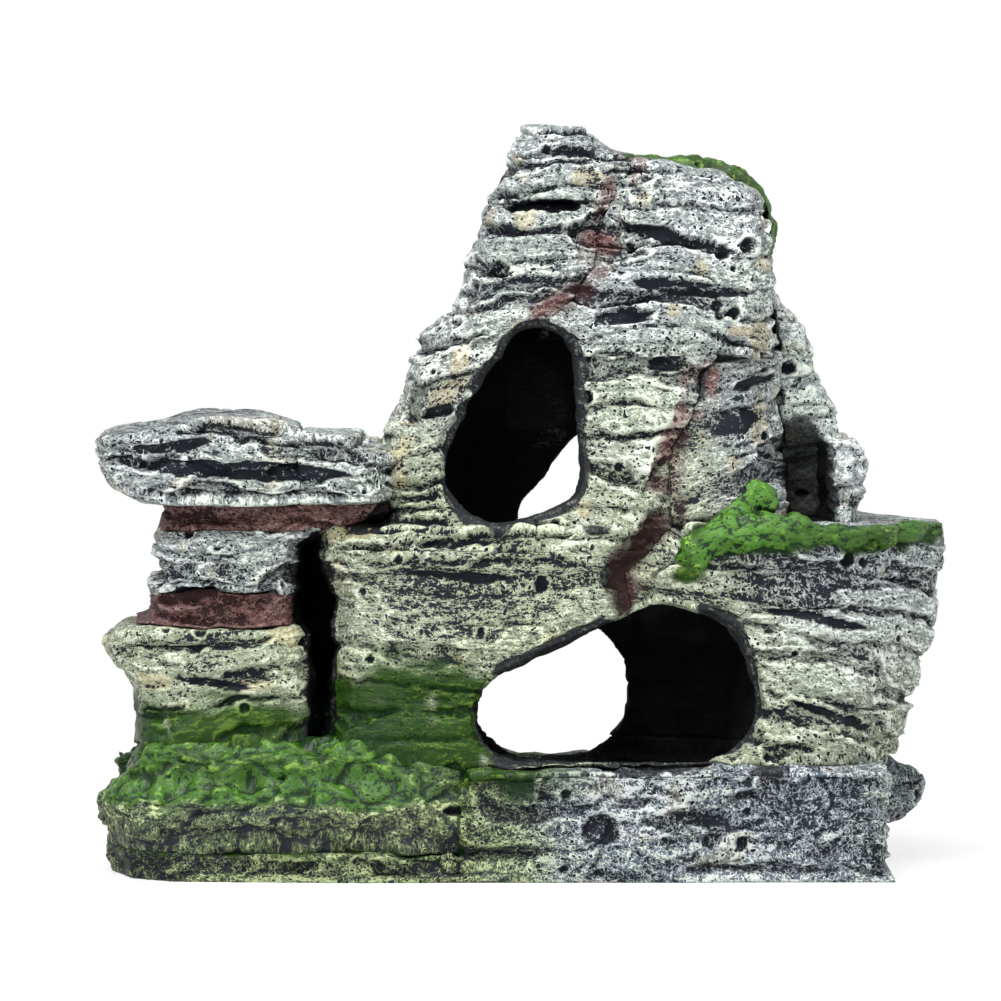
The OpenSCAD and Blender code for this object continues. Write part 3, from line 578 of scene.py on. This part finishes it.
def lumps(at):
    """Relief in mm of rounded lumps: deeper away from the middles of large and of small random cells."""
    large, small = nearest_seeds(at / 3.2, 80)[0], nearest_seeds(at / 1.5, 85)[0]
    return 0.5 + 1.5 * large**1.5 + 0.55 * small


def casting(node, material, voxel, paint, dip=0.0, bedded=1.0, chunky=0.0, lumpy=0.0, pits=0.4):
    """One casting: its solid rebuilt in even squares of voxel mm, with the skin's carved relief. The relief
    is beds that dip to the right by dip degrees, chunks, lumps, bubble pits and the hand-cut gashes. It fades
    inside the cave, and leaves the wall its least thickness. The seam faces are pushed out a little, so that
    the casting meets its neighbours. paint(at, look) gives its colours."""
    mesh = remade(merged([node]), voxel * MM, skin_reader)
    places, normal = read(mesh.vertices, "co"), read(mesh.vertices, "normal")
    out, ease, light, moss, spot = (read(mesh.attributes[name].data, "vector") for name in GUIDES)
    for name in GUIDES:
        mesh.attributes.remove(mesh.attributes[name])
    out /= np.linalg.norm(out, axis=1)[:, None] + 1e-9
    at = spot / MM
    deep = np.linalg.norm(places - spot, axis=1) / MM
    opened, edge, wall = light.T
    inner, within = inside(at, mixed(out, normal, ramp((normal * out).sum(1), 0.5, 0.8)), opened)

    # The carving, in mm inwards from the skin. Chunks fade out beside the seams.
    bed = at[:, 2] + math.tan(math.radians(dip)) * at[:, 0] + 1.9 * wander(over(at, 30, 30, 26), 3)
    bed = bed + 0.9 * wander(over(at, 8, 8, 12), 4)
    ragged = bed + 0.4 * wander(over(at, 1.7, 1.7, 1.2), 9) + 0.22 * wander(over(at, 0.8, 0.8, 0.7), 10)
    relief, dark, proud, rim = ledges(at, ragged, ramp(np.abs(out[:, 2]), 0.95, 0.6) * bedded)
    chunky = chunky * (1 - ramp(blurred(mesh, ramp(deep, 0.5, 1.2), 40)[:, 0], 0.02, 0.2))
    if chunky.any():
        chunk, chunk_rim = chunks(at, out)
        relief, rim = relief + chunky * chunk, np.maximum(rim, 0.8 * chunky * chunk_rim)
    if lumpy:
        relief = relief + lumpy * lumps(at)
    relief = relief + 0.22 * wander(at / 2.2, 5) + 0.3 * wander(at / 6.5, 6) + 0.35 * wander(at / 17, 7)
    pit, radius, lip = bubbles(at, pits)
    cut, cut_lip = by_hand(at, out)
    raised_by = 0.15
    relief = relief + 1.4 * pit * radius + cut - raised_by

    # The brim is the smooth dark band round each opening. The wall keeps its least thickness.
    brim = ramp(blurred(mesh, inner, 24)[:, 0] + 0.05 * wander(at / 2.4, 12), 0.07, 0.15)
    brim = brim * (1 - inner) * within
    relief = relief * (1 - 0.6 * brim) + brim * (0.35 + 0.3 * wander(over(at, 6, 6, 1.1), 13))
    rough_edge = 0.35 * wander(at / 2.1, 14) + 0.25 * wander(at / 5, 15)
    carved = (relief * (1 - 0.85 * inner) + inner * rough_edge) * ramp(at[:, 2], 0.2, 1.5)
    least_wall, always_free = 1.1, 0.4
    carved = np.minimum(carved, np.maximum(wall - least_wall, always_free))
    broad, fine = blurred(mesh, carved, 16)[:, 0] - carved, blurred(mesh, carved, 4)[:, 0] - carved
    meet = 0.22 * MM
    sideways = normal - (normal * out).sum(1)[:, None] * out
    inward = ease * ramp(at[:, 2], 1.0, 3.5)[:, None] - carved[:, None] * MM * out
    move(mesh, places + meet * sideways + ramp(deep, 5.0, 0.6)[:, None] * inward)

    # The lift says how readily the brush touches: less in what lies deep, more on edges, rims and lips.
    gash = ramp(cut, 0.3, 0.9)
    dark = np.maximum(dark, gash)
    look = {"inner": inner, "brim": brim, "open": opened, "out": out, "moss": moss[:, 0]}
    shade, body, crest, lift, calm = paint(at, look)
    tone = (0.22 + 0.3 * lumpy) * broad + 0.3 * fine - 0.17 * dark + 0.14 * edge + 0.07 * proud
    tone = np.clip(tone, -0.25, 0.17)
    tone = tone - 0.6 * pit - 0.22 * gash + 0.2 * rim + 0.2 * np.maximum(lip, cut_lip)
    lift = (tone + lift) * (1 - inner) * (1 - 0.7 * brim) - 0.25 * inner - 0.12 * brim
    bubbly = np.clip(rim + ramp(wander(at / 7, 66), 0.15, 0.5), 0, 1) * (1 - inner)
    for name, colour in (("shade", shade), ("body", body), ("crest", crest)):
        store(mesh, name, np.column_stack([np.clip(colour, 0, 1), np.ones(len(colour))]))
    for name, share in (("bed", bed), ("lift", lift), ("bubbly", bubbly * (1 - 0.6 * calm)), ("calm", calm)):
        store(mesh, name, share)
    mesh.materials.clear()
    mesh.materials.append(material)
    piece = bpy.data.objects.new("cast_" + node, mesh)
    bpy.context.scene.collection.objects.link(piece)
    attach(piece, "root")
    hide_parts(node)


# Paint colours, as linear red, green and blue.
DARK = np.array([0.0095, 0.0115, 0.0165])
CHARCOAL = np.array([0.022, 0.024, 0.026])
OCHRE = np.array([0.37, 0.30, 0.15])
MAROON = np.array([0.045, 0.018, 0.018])
ROSE = np.array([0.15, 0.07, 0.062])
ROSE_CREST = np.array([0.50, 0.34, 0.34])
LEAF = np.array([0.028, 0.082, 0.007])
LEAF_CREST = np.array([0.12, 0.225, 0.028])
LEAF_DARK = np.array([0.004, 0.020, 0.003])
MOSSY = np.array([0.034, 0.048, 0.024])
MOSSY_CREST = np.array([0.30, 0.35, 0.18])


def plain(body, crest):
    """The same two tones all over a casting."""
    return lambda at: (body + 0 * at, crest + 0 * at)


def rock_paint(tones, ochre=0.3, leaf=None, rose=None, mossy=None, painted_shade=None, lighten=0.0, base=DARK):
    """Colours of a rock casting: near black where the brush doesn't reach, a body tone dragged over it and a
    pale crest, with ochre spots and green close to the moss. Inside the cave, in closed-in places and on the
    brim round the openings it is near black, partly the bare black resin and partly painted shade, darker the
    more closed in.
    Glossy green, dusty rose and mossy grey come where a mask of the place says so, and painted shade dims the
    colours where its mask says so. Gives the three colours, what is added to the lift, and how calm the paint
    is."""
    def paint(at, look):
        slow = wander(at / 11, 31)
        shade = base + 0 * at
        mid, top = tones(at)
        mid = mixed(mid, mid * 0.62, ramp(slow, 0.0, 0.8))
        top = mixed(top, top * np.array([0.95, 0.98, 0.88]), ramp(wander(at / 14, 32), -0.2, 0.5))
        spots = ochre * ramp(wander(over(at, 4.5, 4.5, 3.2), 33), 0.5, 0.62)
        mid, top = mixed(mid, OCHRE, spots), mixed(top, OCHRE * 1.25, spots * 0.8)
        raise_by, calm = 0.14 * slow + lighten, 0 * slow
        if mossy is not None:
            grown = mossy(at, look)
            mid, top = mixed(mid, MOSSY, grown), mixed(top, MOSSY_CREST, grown)
            raise_by = raise_by - 0.05 * grown
        if rose is not None:
            red = rose(at, look) * ramp(wander(over(at, 2.2, 2.2, 2.6), 34), -0.6, 0.3)
            blush = ramp(at[:, 2] + 5 * wander(at / 5, 37), front(0, 0.76)[1], front(0, 0.88)[1])
            gully_top = ramp(at[:, 2], front(0, 0.57)[1], front(0, 0.64)[1])
            blush = np.maximum(blush, 0.7 * gully_top * ramp(at[:, 0], front(0.645, 0)[0], front(0.68, 0)[0]))
            shade = mixed(shade, MAROON * 0.6, red)
            mid = mixed(mid, mixed(MAROON + 0 * at, ROSE, blush), red)
            top = mixed(top, mixed(ROSE + 0 * at, ROSE_CREST, blush), red * 0.85)
            raise_by = raise_by - 0.06 * red * (1 - blush)
        green = ramp(look["moss"] + 1.1 * wander(at / 2.2, 38), 1.5, 0.4) * (1 - look["inner"])
        if leaf is not None:
            green = np.maximum(green, leaf(at, look) * ramp(wander(at / 2.6, 35), -1.0, -0.3))
        if green.any():
            calm = green
            shade = mixed(shade, LEAF_DARK, green)
            mid, top = mixed(mid, LEAF * 0.42, green), mixed(top, LEAF_CREST * 0.5, green)
        # Painted shade: the colours are dimmed where the shade mask is high.
        if painted_shade is not None:
            dim = 1 - 0.92 * painted_shade(at, look)[:, None]
            mid, top = mid * dim, top * dim
        # Inside the cave, in closed-in places and on the brim round the openings the paint goes near black:
        # partly the bare black resin, partly painted shade, with the charcoal darker the more closed in each
        # place is.
        black_and_painted_shade = np.maximum(look["inner"], look["brim"])
        black = mixed(CHARCOAL + 0 * at, 0.12 * CHARCOAL, ramp(look["open"], 0.55, 0.3))
        shade, mid, top = mixed(shade, black * 0.6, black_and_painted_shade), mixed(mid, black, black_and_painted_shade), mixed(top, black * 2.2, black_and_painted_shade)
        return shade, mid, top, raise_by, calm
    return paint


def foot_moss(at, look):
    """How mossy the foot is: wholly under the bank, then fading out under the arch."""
    return ramp(at[:, 0] + 4 * wander(at / 5, 95), front(0.60, 0)[0], front(0.44, 0)[0])


def foot_leaf(at, look):
    """Green paint along the foot's top edge beside the bank."""
    top = at[:, 2] + 1.2 * wander(at / 3.3, 97) + 0.9 * wander(at / 1.1, 94)
    return foot_moss(at, look) * ramp(top, front(0, 0.10)[1], front(0, 0.125)[1])


slate_paint = dry_brushed("slate_paint", long=2.0, high=0.75, net=0.3, hole=1.3, gloss=0.06)
SLATE_BLUE = np.array([0.075, 0.093, 0.118])
OFF_WHITE = np.array([0.54, 0.57, 0.56])
slate_tones = plain(SLATE_BLUE, OFF_WHITE * 0.92)
foot_paint = rock_paint(slate_tones, ochre=0.15, leaf=foot_leaf, mossy=foot_moss)
casting("base_plinth", slate_paint, 0.49, foot_paint, bedded=0.7, chunky=0.7, pits=0.7)
casting("side_pebble", slate_paint, 0.35, foot_paint, bedded=0.2, chunky=0.6, pits=0.7)

# ---- Cave walls --------------------------------------------------------------------------------
# Two front castings and one rear one are bonded to the foot round the cave. They are hollow resin
# walls brushed sage green and cream over black, with glossy green low on the left and a red gully.
SAGE = np.array([0.18, 0.205, 0.135])
GREY = np.array([0.138, 0.155, 0.154])
CREAM = np.array([0.50, 0.53, 0.43])


def mountain(at):
    """The mountain's two tones: sage and cream low down, greyer and whiter towards the summit and the tip."""
    up = at[:, 2] + 4 * wander(at / 9, 36) + 40 * ramp(at[:, 0], front(0.66, 0)[0], front(0.84, 0)[0])
    grey = ramp(up, front(0, 0.46)[1], front(0, 0.8)[1])
    return mixed(SAGE + 0 * at, GREY, grey), mixed(CREAM + 0 * at, OFF_WHITE, grey)


def along_line(line, wide, edge):
    """A mask that is 1 within a width of a line in the front view and fades over an edge, in mm."""
    return lambda at, look: ramp(from_line(at, line), wide + edge, wide) * ramp(look["out"][:, 1], 0.6, 0.1)


def gully_painted_shade(at, look):
    """Painted shade: the gully's low end, above the arch, darkened."""
    low_end = ramp(at[:, 2] + 2 * wander(at / 4, 39), front(0, 0.53)[1], front(0, 0.46)[1])
    return 0.75 * low_end * along_line(GULLY, 1.2, 2.4)(at, look)


def wall_green(at, look):
    """The glossy green on the wall's lower left."""
    across = ramp(at[:, 0], front(0.50, 0)[0], front(0.46, 0)[0])
    top = at[:, 2] + 3.0 * wander(at / 6, 96) + 2.2 * wander(over(at, 3, 3, 1.5), 98)
    return across * ramp(top, front(0, 0.315)[1], front(0, 0.265)[1])


gully_red = along_line(GULLY, 0.9, 2.2)
stone_paint = dry_brushed("sage_stone_paint", long=2.6, high=0.6, net=0.18, hole=1.3, gloss=0.0)
wall_masks = {"leaf": wall_green, "rose": gully_red, "painted_shade": gully_painted_shade}
wall_paint = rock_paint(mountain, ochre=0.25, lighten=-0.05, **wall_masks)
casting("cave_wall_front", stone_paint, 0.34, wall_paint, bedded=0.6, pits=0.35)
buttress_paint = rock_paint(mountain, ochre=0.15, rose=gully_red, lighten=0.03)
casting("right_buttress", stone_paint, 0.36, buttress_paint, dip=9, bedded=0.75, pits=0.45)
grey_paint = rock_paint(plain(GREY, OFF_WHITE), ochre=0.2)
casting("cave_wall_rear", stone_paint, 0.5, grey_paint, pits=0.4)

# ---- Peak --------------------------------------------------------------------------------------
# The stones round the window and above it are thin castings bonded edge to edge on the cave walls,
# sage below and whiter towards the summit. Two pale rocks stand behind them on the right.
CREVICE = [front(*p) for p in (
    (0.52, 0.75), (0.565, 0.785), (0.583, 0.81), (0.592, 0.86), (0.606, 0.9), (0.635, 0.97))]
crevice_red = along_line(CREVICE, 0.4, 2.6)


def both_red(at, look):
    """The red of the crevice and of the gully."""
    return np.maximum(crevice_red(at, look), gully_red(at, look))


peak_paint = rock_paint(mountain, ochre=0.4, rose=both_red, painted_shade=gully_painted_shade)
casting("window_stone", stone_paint, 0.34, peak_paint, dip=-6, bedded=0.9)
centre_paint = rock_paint(mountain, ochre=0.4, rose=both_red, painted_shade=gully_painted_shade, lighten=0.07)
casting("centre_stone", stone_paint, 0.3, centre_paint, dip=2, bedded=0.9)
casting("flank_stone", stone_paint, 0.3, peak_paint, dip=-12, bedded=0.9, pits=0.5)
casting("crown_left", stone_paint, 0.34, peak_paint, dip=-4)
casting("crown_right", stone_paint, 0.36, peak_paint, dip=6, pits=0.5)
casting("summit_cap", stone_paint, 0.34, peak_paint, dip=-2)
casting("peak_wall_rear", stone_paint, 0.46, grey_paint, pits=0.4)
pale_paint = dry_brushed("pale_paint", long=2.0, high=0.8, net=0.2, hole=1.3, gloss=0.0)
# Painted shade: the rear rocks are darkened in the deep recess behind the flank stone.
recess_painted_shade = along_line([front(0.826, 0.575), front(0.832, 0.49)], 2.8, 1.2)
rear_paint = rock_paint(plain(GREY * 1.5, OFF_WHITE * 1.1), ochre=0.2, painted_shade=recess_painted_shade, lighten=0.08)
for name in ("rear_boulder", "rear_pinnacle"):
    casting(name, pale_paint, 0.36, rear_paint, bedded=0.4, chunky=0.6, pits=0.8)

# ---- Turret ------------------------------------------------------------------------------------
# A stack of cast stones with two narrow dusty red bands carries a broad slab, and a shoulder stone
# joins the slab to the peak. All are bonded flat on flat.
def turret_green(at, look):
    """The glossy green round the stack's foot."""
    top = at[:, 2] + 1.5 * wander(at / 6, 96) + 1.8 * wander(over(at, 3, 3, 1.5), 98)
    return ramp(top, front(0, 0.255)[1], front(0, 0.215)[1])


foot_stone_paint = rock_paint(plain(SAGE, CREAM), ochre=0.4, leaf=turret_green)
casting("turret_foot", stone_paint, 0.36, foot_stone_paint, dip=-5, bedded=0.8)
casting("turret_middle_stone", stone_paint, 0.34, grey_paint)
casting("turret_cap", stone_paint, 0.36, grey_paint, dip=3)
casting("turret_shoulder", stone_paint, 0.34, grey_paint, dip=6)
# The upper band's lift is 0.09 lower, so it is painted darker, as shade under the cap's overhang.
for name, lighten in (("turret_lower_band", 0.0), ("turret_upper_band", -0.09)):
    rose_tones = plain(ROSE * 0.6, ROSE_CREST * 0.42)
    band_paint = rock_paint(rose_tones, ochre=0.0, lighten=lighten, base=MAROON * 0.5)
    casting(name, stone_paint, 0.34, band_paint, bedded=0.6)

# ---- Moss --------------------------------------------------------------------------------------
# Lumps sculpted on the resin under thick glossy green paint, yellow-green where the brush caught
# their edges. The bank fills a seat in the foot's front corner and is bare dark rock below its lip.
moss_paint = dry_brushed("moss_paint", long=1.5, high=1.0, net=0.08, hole=1.2, gloss=0.0, shine=0.22)


def moss_green(at, look, bright=1.0):
    """Deep green in the hollows, leaf green on the lumps and yellow-green on their edges."""
    slow = wander(at / 6, 92)
    mid = bright * mixed(LEAF + 0 * at, LEAF * 0.45, ramp(slow, 0.0, 0.6))
    return LEAF_DARK + 0 * at, mid, bright * LEAF_CREST + 0 * at, 0.1 * slow - 0.03, 0 * slow + 1


def shelf_green(at, look):
    """A fresher green, brightest beside the gully."""
    return moss_green(at, look, 1.6 - 0.5 * ramp(at[:, :1], front(0.76, 0)[0], front(0.84, 0)[0]))


def bank_paint(at, look):
    """Moss above the bank's wavy lip, pale along the lip, and dark mossy rock below it."""
    green = moss_green(at, look)
    away_from_moss = {**look, "moss": look["moss"] + 9}
    rock = rock_paint(plain(MOSSY, MOSSY_CREST), ochre=0.0)(at, away_from_moss)
    lip = front(0, 0.105)[1] + 1.8 * wander(at / 7, 93) + 1.0 * wander(at / 2.5, 94)
    above = ramp(at[:, 2] - lip, -1.0, 1.0) * (1 - 0.5 * ramp(at[:, 0], front(0.33, 0)[0], front(0.42, 0)[0]))
    pale = ramp(np.abs(at[:, 2] - lip), 1.6, 0.3) * ramp(wander(at / 3.5, 99), -0.5, 0.3)
    colours = [mixed(r, g, above) for r, g in zip(rock[:3], green[:3])]
    colours[2] = mixed(colours[2], MOSSY_CREST * 1.2, pale)
    return *colours, rock[3] + (green[3] - rock[3] + 0.04) * above + 0.08 * pale - 0.04, above


casting("moss_bank", moss_paint, 0.4, bank_paint, bedded=0.0, chunky=0.4, lumpy=0.9, pits=0.5)
casting("moss_shelf", moss_paint, 0.3, shelf_green, bedded=0.0, lumpy=0.6, pits=0.2)
for name in ("moss_tip", "moss_summit"):
    casting(name, moss_paint, 0.3, moss_green, bedded=0.0, lumpy=0.6, pits=0.2)

# ---- Skin --------------------------------------------------------------------------------------
# The skin was only a guide, so it goes.
bpy.data.objects.remove(skin)
